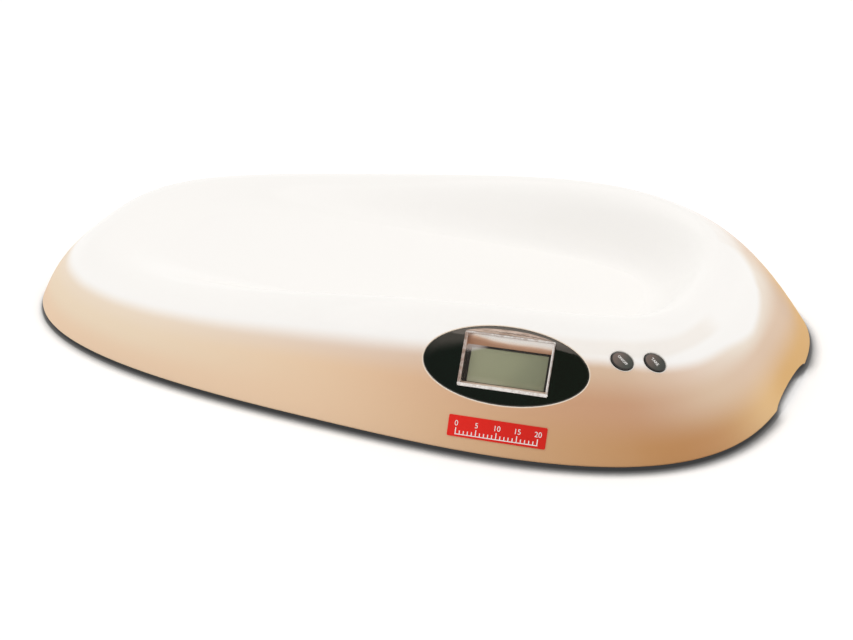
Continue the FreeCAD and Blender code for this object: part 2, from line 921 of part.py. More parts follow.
def cell_seat(x, y):
    """Two ledges under the load cell's sides and two screw posts beyond them."""
    half = cell_size / 2
    reach = foot_hole_radius + cell_ledge_margin
    ledges = [
        box((x - reach, x + reach), (y + low, y + low + cell_ledge_width), (cover_top - weld, cell_base))
        for low in (-half, half - cell_ledge_width)
    ]
    posts = [rod(clamp_post_radius, cover_top - weld, cell_top, px, py) for px, py in clamp_spots(x, y)]
    return ledges + posts


def bottom_cover():
    under = box((-length, length), (-length, length), (cover_bottom, cover_top))
    band = box((-length, length), (-length, length), (cover_bottom, cover_top + rim_height))
    plate = ROOM_FOR_COVER.common(under)
    rim = skin_solid(wall + cover_gap, wall + cover_gap + rim_wall).common(band)
    solids = [rim]
    for side in (-1, 1):
        solids.append(cup(side, cup_wall, cover_bottom, cup_roof + cup_wall).common(ROOM_FOR_COVER))
    solids.append(
        box(
            (bay_x - bay_half_x - bay_wall, bay_x + bay_half_x + bay_wall),
            (-bay_half_y - bay_wall, bay_half_y + bay_wall),
            (cover_bottom, bay_roof + bay_wall),
            corner=2.0,
        )
    )
    for x, y in corners(cell_x, cell_y):
        solids += cell_seat(x, y)
    for x, y in board_posts():
        solids.append(rod(post_radius, cover_top - weld, board_low, x, y))
    body = plate.fuse(solids)
    cuts = [cup(side, 0, 0, cup_roof) for side in (-1, 1)]
    cuts.append(
        box((bay_x - bay_half_x, bay_x + bay_half_x), (-bay_half_y, bay_half_y), (0, bay_roof))
    )
    cuts += door_tab_slots()
    for x, y in corners(cell_x, cell_y):
        cuts.append(rod(foot_hole_radius, 0, cover_top, x, y))
        cuts += pilots(clamp_spots(x, y), cell_top, -1)
    cuts += pilots(board_posts(), board_low, -1)
    for x, y in COLUMNS:
        cuts.append(rod(cover_screw_radius + screw_hole_gap, 0, cover_top + 1, x, y))
        cuts.append(rod(cover_head_radius + cover_head_gap, 0, cover_bottom + cover_head_height, x, y))
    body = body.cut(cuts)
    dividers = []
    for index in range(battery_count - 1):
        middle = (battery_x(index) + battery_x(index + 1)) / 2
        x = (middle - divider_thickness / 2, middle + divider_thickness / 2)
        dividers.append(box(x, (-bay_half_y, bay_half_y), (bay_roof - divider_depth, bay_roof + weld)))
    return body.fuse(dividers)


def cover_screws():
    seat = cover_bottom + cover_head_height
    shank = cover_thickness - cover_head_height + cover_screw_length - cover_pilot_spare
    return group(
        [
            screw(x, y, seat, cover_screw_radius, shank, cover_head_radius, cover_head_height)
            for x, y in COLUMNS
        ]
    )


# ---------------------------------------------------------------- battery bay


def door_tabs():
    return (bay_x - bay_half_x / 2, bay_x + bay_half_x / 2)


def door_tab_slots():
    """Room above the plate's lip for the door's two tabs to swing in."""
    edge = -bay_half_y
    return [
        box(
            (x - door_tab_width / 2 - door_tab_side_gap, x + door_tab_width / 2 + door_tab_side_gap),
            (edge - door_tab_reach - door_tab_end_gap, edge + 1),
            (cover_bottom + door_lip, cover_top + door_tab_swing),
        )
        for x in door_tabs()
    ]


def battery_door():
    low_x, high_x = bay_x - bay_half_x + door_gap, bay_x + bay_half_x - door_gap
    edge = -bay_half_y + door_gap
    far = bay_half_y - door_gap
    top = cover_bottom + door_thickness
    plate = box((low_x, high_x), (edge, far), (cover_bottom, top), corner=1.0)
    tabs = [
        box(
            (x - door_tab_width / 2, x + door_tab_width / 2),
            (edge - door_tab_reach, edge + 2),
            (top - door_tab_thickness, top),
        )
        for x in door_tabs()
    ]
    slots = [
        box((middle - latch_slot / 2, middle + latch_slot / 2), (far - latch_depth, far + 1), (0, top + 1))
        for middle in (bay_x - latch_width / 2, bay_x + latch_width / 2)
    ]
    grips = []
    for i in range(grip_rows):
        low = far - 2 * latch_depth + grip_pitch * i
        x = (bay_x - grip_half_width, bay_x + grip_half_width)
        grips.append(box(x, (low, low + grip_groove), (0, cover_bottom + grip_depth)))
    return united([plate] + tabs).cut(slots + grips)


def battery(index):
    """One cell lying along Y, ends turned about from its neighbours'."""
    way = 1 if index % 2 else -1
    x = battery_x(index)
    flat_end = way * (bay_half_y - contact_thickness - battery_end_gap - spring_room)
    can = Part.makeCylinder(
        battery_radius, battery_length, Vector(x, flat_end, battery_axis), Vector(0, -way, 0)
    )
    nub_start = flat_end - way * battery_length
    nub = Part.makeCylinder(
        battery_nub_radius, battery_nub_length, Vector(x, nub_start, battery_axis), Vector(0, -way, 0)
    )
    return united([can, nub])


def battery_contacts():
    plates = []
    for index in range(battery_count):
        x = battery_x(index)
        for side in (-1, 1):
            face = side * bay_half_y
            y = sorted((face, face - side * contact_thickness))
            plates.append(
                box(
                    (x - contact_width / 2, x + contact_width / 2),
                    y,
                    (battery_axis - contact_height / 2, battery_axis + contact_height / 2),
                )
            )
    return group(plates)


def battery_springs():
    springs = []
    for index in range(battery_count):
        way = 1 if index % 2 else -1
        reach = spring_room - 2 * spring_wire_radius
        path = Part.makeHelix(reach / spring_turns, reach, spring_radius)
        section = Part.Wire([Part.Circle(Vector(spring_radius, 0, 0), Y, spring_wire_radius).toShape()])
        coil = Part.Wire(path.Edges).makePipeShell([section], True, True)
        seat = way * (bay_half_y - contact_thickness - spring_wire_radius - 0.05)
        turned = Placement(Vector(battery_x(index), seat, battery_axis), Rotation(X, 90 * way))
        springs.append(placed(coil, turned))
    return group(springs)


# ---------------------------------------------------------------- feet and load cells


def load_cell(x, y):
    """Stamped steel plate whose middle tongue takes the foot."""
    half = cell_size / 2
    plate = box((-half, half), (-half, half), (0, cell_thickness), corner=cell_corner)
    reach = tongue_length - half
    outer = box(
        (-tongue_width / 2 - cell_slot, tongue_width / 2 + cell_slot),
        (-half + cell_bridge, reach + cell_slot),
        (-1, cell_thickness + 1),
    )
    tongue = box((-tongue_width / 2, tongue_width / 2), (-half, reach), (-2, cell_thickness + 2))
    shape = plate.cut(outer.cut(tongue))
    return placed(shape, Placement(Vector(x, y, cell_base), Rotation()))


def load_cell_clamp(x, y):
    """Frame over the load cell: two bars joined by the ends that the screws hold down."""
    half = cell_size / 2
    end = post_radius + clamp_end_margin
    level = (cell_top, cell_top + clamp_thickness)
    bars = [
        box((x - clamp_screw_offset, x + clamp_screw_offset), (y + low, y + low + clamp_width), level)
        for low in (-half, half - clamp_width)
    ]
    ends = [
        box((px - end, px + end), (y - half, y + half), level, board_corner) for px, _ in clamp_spots(x, y)
    ]
    return united(bars + ends).cut(clear_holes(clamp_spots(x, y), *level))


def foot(x, y):
    disc_top = pad_height + foot_height
    disc = rod(foot_radius, pad_height, disc_top, x, y)
    disc = disc.makeFillet(foot_edge_round, [e for e in disc.Edges if e.BoundBox.ZMin > disc_top - weld])
    return united([disc, rod(foot_neck_radius, disc_top - weld, cell_base, x, y)])


def foot_pad(x, y):
    pad = rod(pad_radius, 0, pad_height, x, y)
    pad = pad.makeFillet(pad_edge_round, [e for e in pad.Edges if e.BoundBox.ZMax < weld])
    groove = rod(pad_groove_radius, -1, pad_groove_depth, x, y)
    groove = groove.cut(rod(pad_groove_radius - pad_groove_width, -1, pad_groove_depth, x, y))
    return pad.cut(groove)


def cell_clamp_screws():
    spots = [spot for x, y in corners(cell_x, cell_y) for spot in clamp_spots(x, y)]
    return small_screws(spots, cell_top + clamp_thickness, clamp_thickness, drive_down=False)


def strain_gauges():
    wide, deep, tall = gauge_size
    gauge = box(
        (-wide / 2, wide / 2),
        (-foot_neck_radius - deep / 2, -foot_neck_radius + deep / 2),
        (cell_top, cell_top + tall),
        tall,
    )
    return group([placed(gauge, Placement(Vector(x, y, 0), Rotation())) for x, y in corners(cell_x, cell_y)])


# ---------------------------------------------------------------- main board


def main_board():
    half_x, half_y = board_length / 2, board_width / 2
    board = box(
        (board_x - half_x, board_x + half_x),
        (board_y - half_y, board_y + half_y),
        (board_low, board_top),
        board_corner,
    )
    return board.cut(clear_holes(board_posts(), board_low, board_top))


def main_board_screws():
    return small_screws(board_posts(), board_top, board_thickness, drive_down=False)


def chip(dx, dy, wide, deep, tall, legs):
    """Moulded chip with a row of legs along its two long sides."""
    x, y = board_x + dx, board_y + dy
    left = x - wide / 2
    reach = deep / 2 + leg_reach
    pitch = wide / legs
    level = (board_top + chip_stand, board_top + tall)
    body = box((left, left + wide), (y - deep / 2, y + deep / 2), level, chip_corner)
    pins = [
        box(
            (left + (i + 0.3) * pitch, left + (i + 0.7) * pitch),
            (y - reach, y + reach),
            (board_top, board_top + leg_thickness),
        )
        for i in range(legs)
    ]
    return united([body] + pins)


def header(x, y, turn):
    """Open-fronted plug header; its mouth points along the turned +Y."""
    wide, deep, tall = header_size
    body = box((-wide / 2, wide / 2), (-deep / 2, deep / 2), (0, tall))
    inner = wide / 2 - header_wall
    mouth = box((-inner, inner), (header_back - deep / 2, deep), (header_wall, tall - header_wall))
    return placed(body.cut(mouth), Placement(Vector(x, y, board_top), Rotation(Z, turn)))


header_inset = header_size[1] / 2 + header_edge_margin
front_header_y = board_y - board_width / 2 + header_inset
back_header_y = board_y + board_width / 2 - header_inset
SENSOR_HEADERS = {
    "front_left": (board_x + sensor_header_x["left"], front_header_y, 180),
    "front_right": (board_x + sensor_header_x["right"], front_header_y, 180),
    "back_left": (board_x + sensor_header_x["left"], back_header_y, 0),
    "back_right": (board_x + sensor_header_x["right"], back_header_y, 0),
}
POWER_HEADERS = {
    "battery": (board_x - board_length / 2 + header_inset, board_y + battery_header_y, 90),
    "display": (board_x + display_header_x, front_header_y, 180),
    "buttons": (board_x + board_length / 2 - header_inset, board_y + button_header_y, -90),
}


def round_part(dx, dy, radius, tall):
    body = rod(radius, board_top, board_top + tall, board_x + dx, board_y + dy)
    upper = [e for e in body.Edges if e.BoundBox.ZMin > board_top + tall - weld]
    return body.makeFillet(round_part_edge, upper)


# ---------------------------------------------------------------- leads

lead_level = cover_top + cell_lead_radius + 0.2
mouth_level = board_top + header_size[2] / 2
cell_level = (cell_base + cell_top) / 2
mouth_reach = header_size[1] / 2 - lead_in_header


def cell_lead(name):
    """Lead from one load cell round the bay to its header."""
    side, end = name.split("_")
    along = 1 if end == "right" else -1
    across = 1 if side == "back" else -1
    header_x, header_y, _ = SENSOR_HEADERS[name]
    x = along * cell_x
    y = across * (cell_y - cell_size / 2 - 0.3)
    low = lead_level + cell_lead_radius
    run_y = across * (cell_y - (32 if end == "right" else 28))
    route = [
        (x, y, cell_level),
        (x, y - across * 4, cell_level - 0.2),
        (x - along * 8, run_y + across * 3, low),
    ]
    if end == "right":
        way = ((0.44, 0), (0.75, -8))
    else:
        way = ((0.22, -1), (0.42, 2), (0.62, -1), (0.82, 2))
    for share, aside in way:
        route.append((x + (header_x - x) * share, run_y + across * aside, lead_level))
    route.append((header_x, header_y + across * 20, lead_level + 1))
    route.append((header_x, header_y + across * 11, mouth_level))
    route.append((header_x, header_y + across * mouth_reach, mouth_level))
    return lead(route, cell_lead_radius)


def local_point(frame, u, v, n):
    point = frame.multVec(Vector(u, v, n))
    return (point.x, point.y, point.z)


def display_lead():
    header_x, header_y, _ = POWER_HEADERS["display"]
    back = display_board_back
    return lead(
        [
            local_point(DISPLAY, -10, -8, back),
            local_point(DISPLAY, -10, -8, back - 9),
            (header_x - 4, header_y - 40, mouth_level + 9),
            (header_x, header_y - 16, mouth_level),
            (header_x, header_y - mouth_reach, mouth_level),
        ],
        display_lead_radius,
    )


def button_lead():
    header_x, header_y, _ = POWER_HEADERS["buttons"]
    return lead(
        [
            local_point(BUTTON_BOARD, 0, 0, button_board_back),
            local_point(BUTTON_BOARD, 0, 0, button_board_back - 10),
            (header_x + 34, header_y - 34, mouth_level + 14),
            (header_x + 18, header_y, mouth_level),
            (header_x + mouth_reach, header_y, mouth_level),
        ],
        cell_lead_radius,
    )


def battery_lead():
    header_x, header_y, _ = POWER_HEADERS["battery"]
    wall_x = bay_x + bay_half_x + bay_wall
    return lead(
        [
            (wall_x + 0.2, header_y + 6, mouth_level),
            (wall_x + 8, header_y + 6, mouth_level),
            (header_x - 16, header_y, mouth_level),
            (header_x - mouth_reach, header_y, mouth_level),
        ],
        cell_lead_radius,
    )


# ---------------------------------------------------------------- everything

NODES = {
    "cradle_shell": cradle_shell(),
    "bottom_cover": bottom_cover(),
    "cover_screws": cover_screws(),
    "blank_label": blank_label(),
    "display_bezel": display_bezel(),
    "display_lens": display_lens(),
    "lcd_frame": lcd_frame(),
    "lcd_mask": lcd_mask(),
    "lcd_glass": lcd_glass(),
    "contact_strips": contact_strips(),
    "display_board": display_board(),
    "display_screws": display_screws(),
    "button_board": button_board(),
    "button_board_screws": button_board_screws(),
    "main_board": main_board(),
    "main_board_screws": main_board_screws(),
    "microcontroller": chip(*microcontroller),
    "weighing_converter": chip(*weighing_converter),
    "capacitor": round_part(*capacitor),
    "buzzer": round_part(*buzzer),
    "sensor_headers": group([header(*spot) for spot in SENSOR_HEADERS.values()]),
    "power_headers": group([header(*spot) for spot in POWER_HEADERS.values()]),
    "cell_clamp_screws": cell_clamp_screws(),
    "strain_gauges": strain_gauges(),
    "battery_door": battery_door(),
    "battery_contacts": battery_contacts(),
    "battery_springs": battery_springs(),
    "display_lead": display_lead(),
    "button_lead": button_lead(),
    "battery_lead": battery_lead(),
}
for number in range(battery_count):
    NODES["battery_%d" % (number + 1)] = battery(number)
for button_name, button_frame in zip(BUTTON_NAMES, BUTTONS):
    NODES[button_name + "_button"] = button(button_frame)
    NODES[button_name + "_plunger"] = plunger(button_frame)
    NODES[button_name + "_switch"] = tact_switch(button_frame)
for side_name, side_sign in (("front", -1), ("back", 1)):
    for end_name, end_sign in (("left", -1), ("right", 1)):
        corner_name = side_name + "_" + end_name
        centre = (end_sign * cell_x, side_sign * cell_y)
        NODES["load_cell_" + corner_name] = load_cell(*centre)
        NODES["cell_clamp_" + corner_name] = load_cell_clamp(*centre)
        NODES["foot_" + corner_name] = foot(*centre)
        NODES["foot_pad_" + corner_name] = foot_pad(*centre)
        NODES["cell_lead_" + corner_name] = cell_lead(corner_name)

os.makedirs("parts", exist_ok=True)
for node, shape in NODES.items():
    shape.exportStep("parts/%s.step" % node)
    print(node, len(shape.Solids), round(shape.Volume), shape.isValid())
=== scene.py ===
"""Finishes, prints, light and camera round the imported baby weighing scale.

Metres.  +X is the head end, -Y the display side, +Z up, z = 0 the table.
"""

import json
import math

import bmesh
import bpy
from mathutils import Matrix, Vector
from mathutils.bvhtree import BVHTree


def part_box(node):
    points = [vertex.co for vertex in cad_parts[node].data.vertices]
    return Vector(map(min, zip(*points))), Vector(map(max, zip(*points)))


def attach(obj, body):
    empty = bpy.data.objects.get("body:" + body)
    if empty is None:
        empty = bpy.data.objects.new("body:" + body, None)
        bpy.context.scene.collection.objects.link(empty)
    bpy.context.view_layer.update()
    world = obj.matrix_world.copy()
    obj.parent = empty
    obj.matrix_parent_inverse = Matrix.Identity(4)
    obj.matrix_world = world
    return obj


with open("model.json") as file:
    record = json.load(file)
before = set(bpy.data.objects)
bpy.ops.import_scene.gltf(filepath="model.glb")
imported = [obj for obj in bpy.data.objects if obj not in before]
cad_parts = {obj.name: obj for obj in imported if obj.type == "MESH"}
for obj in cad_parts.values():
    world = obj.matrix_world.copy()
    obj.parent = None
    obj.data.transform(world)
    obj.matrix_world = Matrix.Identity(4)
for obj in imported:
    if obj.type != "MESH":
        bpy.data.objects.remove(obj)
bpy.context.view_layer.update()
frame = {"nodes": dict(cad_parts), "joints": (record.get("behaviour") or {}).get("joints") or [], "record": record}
nodes = frame["nodes"]
scene = bpy.context.scene
mm = 0.001
up = Vector((0, 0, 1))

# ---------------------------------------------------------------- camera

camera_azimuth = math.radians(22.74)
camera_elevation = math.radians(26.70)
camera_distance = 1.817
camera_aim = Vector((8.55 * mm, -1.32 * mm, 3.0 * mm))
camera_sensor = 36.0
camera_lens = 98.67


def heading(azimuth, elevation):
    """Unit vector towards a spot in the room; azimuth 0 is the display side, turning to the head end."""
    level = math.cos(elevation)
    return Vector((math.sin(azimuth) * level, -math.cos(azimuth) * level, math.sin(elevation)))


def set_camera():
    back = heading(camera_azimuth, camera_elevation)
    data = bpy.data.cameras.new("camera")
    data.lens = camera_lens
    data.sensor_width = camera_sensor
    camera = bpy.data.objects.new("camera", data)
    scene.collection.objects.link(camera)
    camera.location = camera_aim + back * camera_distance
    camera.rotation_mode = "QUATERNION"
    camera.rotation_quaternion = (-back).to_track_quat("-Z", "Y")
    scene.camera = camera


# ---------------------------------------------------------------- shader sums


class Socket:
    """A shader value that takes part in Python sums; each sign adds a Math node."""

    def __init__(self, finish, socket):
        self.finish = finish
        self.socket = socket

    def maths(self, operation, first, second):
        return self.finish.node("ShaderNodeMath", {"operation": operation}, {0: first, 1: second})

    def __add__(self, other):
        return self.maths("ADD", self, other)

    def __radd__(self, other):
        return self.maths("ADD", other, self)

    def __sub__(self, other):
        return self.maths("SUBTRACT", self, other)

    def __rsub__(self, other):
        return self.maths("SUBTRACT", other, self)

    def __mul__(self, other):
        return self.maths("MULTIPLY", self, other)

    def __rmul__(self, other):
        return self.maths("MULTIPLY", other, self)

    def __truediv__(self, other):
        return self.maths("DIVIDE", self, other)

    def __rtruediv__(self, other):
        return self.maths("DIVIDE", other, self)

    def least(self, other):
        return self.maths("MINIMUM", self, other)

    def most(self, other):
        return self.maths("MAXIMUM", self, other)


class Finish:
    """A procedural material in the making."""

    def __init__(self, name, tree=None):
        if tree is None:
            self.material = bpy.data.materials.new(name)
            self.material.use_nodes = True
            tree = self.material.node_tree
        self.nodes = tree.nodes
        self.links = tree.links
        self.nodes.clear()

    def feed(self, socket, value):
        if isinstance(value, Socket):
            self.links.new(value.socket, socket)
        elif isinstance(value, (tuple, list)) and len(value) == 3 and socket.type == "RGBA":
            socket.default_value = (*value, 1.0)
        else:
            socket.default_value = value

    def node(self, kind, settings=None, inputs=None, out=0):
        """Adds a node: its settings first, then the values or links of its sockets."""
        made = self.nodes.new(kind)
        for name, value in (settings or {}).items():
            if name == "stops":
                ramp = made.color_ramp
                while len(ramp.elements) < len(value):
                    ramp.elements.new(0.5)
                for element, (position, colour) in zip(ramp.elements, value):
                    element.position = position
                    element.color = (*colour, 1.0)
            elif name == "between":
                made.color_ramp.interpolation = value
            else:
                setattr(made, name, value)
        for key, value in (inputs or {}).items():
            self.feed(made.inputs[key], value)
        return Socket(self, made.outputs[out])

    def place(self):
        return self.node("ShaderNodeTexCoord", out="Object")

    def normal(self):
        return self.node("ShaderNodeTexCoord", out="Normal")

    def part(self, vector, axis):
        return self.node("ShaderNodeSeparateXYZ", None, {0: vector}, out="XYZ".index(axis))

    def pair(self, x, y):
        return self.node("ShaderNodeCombineXYZ", None, {0: x, 1: y, 2: 0.0})

    def vector(self, operation, first, second=(0, 0, 0), out="Vector"):
        return self.node("ShaderNodeVectorMath", {"operation": operation}, {0: first, 1: second}, out)

    def along(self, vector, axis):
        return self.vector("DOT_PRODUCT", vector, tuple(axis), "Value")

    def smooth(self, value, low, high):
        """0 below low, 1 above high, and a smooth rise between."""
        limits = {"Value": value, "From Min": low, "From Max": high}
        return self.node("ShaderNodeMapRange", {"interpolation_type": "SMOOTHSTEP"}, limits)

    def fall(self, value, low, high):
        """1 below low, 0 above high, and a smooth fall between."""
        return 1.0 - self.smooth(value, low, high)

    def band(self, value, start, full, fading, gone):
        """1 from full to fading, 0 before start and after gone."""
        return self.smooth(value, start, full) * self.fall(value, fading, gone)

    def ramp(self, value, stops, between="LINEAR"):
        return self.node("ShaderNodeValToRGB", {"stops": stops, "between": between}, {0: value})

    def mix(self, share, first, second):
        return self.node("ShaderNodeMix", {"data_type": "RGBA"}, {0: share, 6: first, 7: second}, out=2)

    def noise(self, vector, scale, detail=3.0, roughness=0.5):
        inputs = {"Vector": vector, "Scale": scale, "Detail": detail, "Roughness": roughness}
        return self.node("ShaderNodeTexNoise", None, inputs)

    def drift(self, vector, scale, spread, detail=3.0):
        """Noise about zero, from half the spread below to half above."""
        return (self.noise(vector, scale, detail) - 0.5) * spread

    def bump(self, height, distance):
        return self.node("ShaderNodeBump", None, {"Strength": 1.0, "Distance": distance, "Height": height})

    def close(self, shader, kind):
        self.links.new(shader, self.nodes.new(kind).inputs["Surface"])

    def surface(self, **inputs):
        """Closes the material with a Principled surface; an input's name has _ for its spaces."""
        shader = self.nodes.new("ShaderNodeBsdfPrincipled")
        for name, value in inputs.items():
            self.feed(shader.inputs[name.replace("_", " ")], value)
        self.close(shader.outputs[0], "ShaderNodeOutputMaterial")
        return self.material


# ---------------------------------------------------------------- places on the scale


def facing(node, towards):
    """Mean outward normal of the faces of a CAD node that look roughly one way."""
    total = Vector()
    for face in nodes[node].data.polygons:
        if face.normal.dot(towards) > 0.8:
            total += face.normal * face.area
    return total.normalized()


def seat(normal, point):
    """Placement at a point: X level, Y up the slope, Z outwards."""
    level = up.cross(normal).normalized()
    rise = normal.cross(level)
    turn = Matrix((level, rise, normal)).transposed().to_4x4()
    return Matrix.Translation(point) @ turn


def middle(node):
    low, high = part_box(node)
    return (low + high) / 2


def span(node, placement):
    """Lowest and highest corner of a CAD node, measured along the axes of a placement."""
    back = placement.inverted()
    points = [back @ vertex.co for vertex in nodes[node].data.vertices]
    return (Vector(pick(axis) for axis in zip(*points)) for pick in (min, max))


def offsets(finish, place, placement):
    """Distances of a surface point from a placement's origin, along its X, Y and Z."""
    offset = finish.vector("SUBTRACT", place, tuple(placement.translation))
    return [finish.along(offset, axis) for axis in placement.to_3x3().col]


def beyond_oval(finish, place, node, placement, flange):
    """Distance of a surface point outside the edge of an oval CAD node's cap; negative inside."""
    x, y, _ = offsets(finish, place, placement)
    low, high = span(node, placement)
    centre = (low + high) / 2
    half_x, half_y = (high.x - low.x) / 2 - flange, (high.y - low.y) / 2 - flange
    x, y = (x - centre.x) / half_x, (y - centre.y) / half_y
    steepness = finish.vector("LENGTH", finish.pair(x / half_x, y / half_y), out="Value")
    return (x * x + y * y - 1.0) / (steepness * 2)


front = Vector((0, -0.8, 0.6))
display_seat = seat(facing("lcd_glass", front), middle("lcd_glass"))
lens_low, lens_high = span("display_lens", display_seat)
lcd_frame_low, lcd_frame_high = span("lcd_frame", display_seat)
glass_low, _ = span("lcd_glass", display_seat)

press_axis = {joint["name"]: Vector(joint["axis"]) for joint in frame["joints"]}
buttons = {"power_button": "power_press", "tare_button": "tare_press"}
button_turn = math.radians(-37)
button_flange = 1.4 * mm  # hidden foot of a button, wider than its cap all round
bezel_flange = 4.0 * mm  # likewise of the bezel, behind the shell

shell_low, shell_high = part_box("cradle_shell")
half_length = (shell_high.x - shell_low.x) / 2
half_width = (shell_high.y - shell_low.y) / 2
crest_reach = 0.78 * half_length  # the crest line ends here at the head tip
crest_stations = 13
ramp_height = 0.1  # height that a ramp of heights shows as white

# ---------------------------------------------------------------- shell

white = (0.935, 0.925, 0.905)
# Painted highlight: the outer crest is painted a brighter white than the tray
crest_highlight_white = (0.975, 0.965, 0.945)
milk = (0.86, 0.77, 0.67)
cream = (0.87, 0.74, 0.60)
sand = (0.88, 0.72, 0.54)
wheat = (0.88, 0.66, 0.47)
biscuit = (0.79, 0.63, 0.51)
fawn = (0.76, 0.58, 0.44)
camel = (0.72, 0.53, 0.38)
caramel = (0.82, 0.58, 0.385)
rosewood = (0.62, 0.36, 0.22)
toffee = (0.77, 0.51, 0.26)
honey = (0.74, 0.46, 0.20)
ginger = (0.58, 0.32, 0.15)

# Round the shell, by angle in degrees from the head tip, the display side negative: the share of the
# crest's height where the coat has turned white, how soft that edge is, and its tone at the foot, at the
# waist and just under the white. These tans are partly the coat's own colour and partly painted warm
# reflection and shade, darkest on the display side near the head end, away from the light
skirt_tones_and_shade = [
    (-123, 0.81, 0.16, wheat, sand, cream),
    (-85, 0.775, 0.16, caramel, caramel, biscuit),
    (-48, 0.80, 0.10, ginger, rosewood, camel),
    (-32, 0.735, 0.10, ginger, camel, biscuit),
    (-17, 0.69, 0.08, toffee, fawn, milk),
    (-2, 0.63, 0.08, honey, fawn, milk),
    (14, 0.755, 0.09, honey, fawn, milk),
    (22, 0.91, 0.13, honey, camel, milk),
    (34, 1.06, 0.20, honey, toffee, fawn),
    (60, 0.85, 0.18, camel, camel, biscuit),
    (123, 0.80, 0.15, wheat, sand, cream),
]
foot_share, waist_share = 0.12, 0.45
shoulder_drop = 0.6  # the tone just under the white is full this share of the soft edge below it
crest_fade = (0.8, 1.0)  # shares of the crest's height between which the crest's painted highlight white turns to the tray's white
edge_wander = 0.03  # how far the noise moves every tone up and down, as a share of the crest's height

# Painted reflection: a faint warm band low on the crest beside the buttons. Its limits in share of the
# crest's height and in degrees, each as where it starts, is full, starts to fade and is gone
reflection_band_shares = (0.76, 0.81, 0.86, 0.91)
reflection_band_angles = (-75.0, -50.0, -22.0, -12.0)
reflection_band_tone = (0.84, 0.76, 0.67)
reflection_band_strength = 0.35

# Painted highlight on the shell's rounded lip round each oval hole, and how far out it reaches
bezel_rim_highlight = (0.88, 0.76, 0.63)
button_rim_highlight = (0.97, 0.94, 0.88)
rim_highlight_reach = 1.3 * mm  # of the painted highlight line round the oval holes, out from the pieces in them
rim_highlight_full = 0.6  # share of that reach where the painted highlight is at its lightest


def turn_share(degrees):
    """Angle round the shell as a share of a full turn; 0.5 is the head tip."""
    return degrees / 360 + 0.5


def crest_stops():
    """Height of the shell at stations along X, as stops of a ramp."""
    points = [vertex.co for vertex in nodes["cradle_shell"].data.vertices]
    stops = []
    for i in range(crest_stations):
        x = crest_reach * (2 * i / (crest_stations - 1) - 1)
        near = [point.z for point in points if abs(point.x - x) < crest_reach / crest_stations]
        height = (max(near) - shell_low.z) / ramp_height
        stops.append((i / (crest_stations - 1), (height, height, height)))
    return stops


def skirt_coat_and_shade(f, share, turn):
    """Tan of the skirt, partly the coat's own colour and partly painted warm reflection and shade, turning white
    towards the crest.
    """
    angles, edges, softness, *tones = zip(*skirt_tones_and_shade)
    stations = [turn_share(angle) for angle in angles]

    def round_shell(colours):
        return f.ramp(turn, list(zip(stations, colours)), "CARDINAL")

    foot, waist, shoulder = (round_shell(tone) for tone in tones)
    white_from, blur = (round_shell([(value,) * 3 for value in values]) for values in (edges, softness))
    tone = f.mix(f.smooth(share, foot_share, waist_share), foot, waist)
    tone = f.mix(f.smooth(share, waist_share, white_from - blur * shoulder_drop), tone, shoulder)
    # painted highlight: brighter white on the crest, fading to the tray's white
    clear = f.mix(f.smooth(share, *crest_fade), crest_highlight_white, white)
    return f.mix(f.smooth(share, white_from - blur, white_from), tone, clear)


def oval_seats():
    """The oval pieces in holes of the shell: placement, hidden flange, and the painted highlight tone of the
    shell's rim.
    """
    yield "display_bezel", display_seat, bezel_flange, bezel_rim_highlight
    for button, joint in buttons.items():
        placement = seat(-press_axis[joint], middle(button)) @ Matrix.Rotation(button_turn, 4, "Z")
        yield button, placement, button_flange, button_rim_highlight


def gloss_shell():
    """White gloss coat over the tray and crest that turns to warm tan down the outer skirt, the tan partly its
    own colour and partly painted reflection and shade; painted highlights along the crest and round the oval
    holes, and a painted reflection band beside the buttons.
    """
    f = Finish("gloss_shell")
    place = f.place()
    x, y, height = f.part(place, "X"), f.part(place, "Y"), f.part(place, "Z") - shell_low.z
    crest = f.ramp(x / (2 * crest_reach) + 0.5, crest_stops())
    share = height / (crest * ramp_height) + f.drift(place, 7.0, edge_wander, detail=1.0)
    turn = f.node("ShaderNodeMath", {"operation": "ARCTAN2"}, {0: y / half_width, 1: x / half_length})
    turn = turn / (2 * math.pi) + 0.5
    # Tan skirt tones, partly the coat's own colour and partly painted warm reflection and shade
    tone = skirt_coat_and_shade(f, share, turn)
    # painted reflection band on the crest beside the buttons
    reflection_band = f.band(share, *reflection_band_shares) * f.band(turn, *map(turn_share, reflection_band_angles))
    tone = f.mix(reflection_band * reflection_band_strength, tone, reflection_band_tone)
    # painted highlight line round each oval hole
    for oval, placement, flange, painted_rim_tone in oval_seats():
        gap = beyond_oval(f, place, oval, placement, flange)
        tone = f.mix(f.fall(gap, rim_highlight_reach * rim_highlight_full, rim_highlight_reach), tone, painted_rim_tone)
    outward = f.vector("NORMALIZE", f.vector("MULTIPLY", place, (half_length**-2, half_width**-2, 0)))
    tilt = f.vector("DOT_PRODUCT", f.normal(), outward, "Value")
    return f.surface(
        Base_Color=f.mix(f.smooth(tilt, 0.05, 0.2), white, tone),
        Roughness=0.2 + f.noise(place, 60.0) * 0.08,
        Specular_IOR_Level=0.0,
        Normal=f.bump(f.noise(place, 900.0, detail=1.0), 0.02 * mm),
        Coat_Weight=0.12 + f.smooth(share, waist_share, 1.0) * 0.28,
        Coat_Roughness=0.06,
    )


# ---------------------------------------------------------------- display

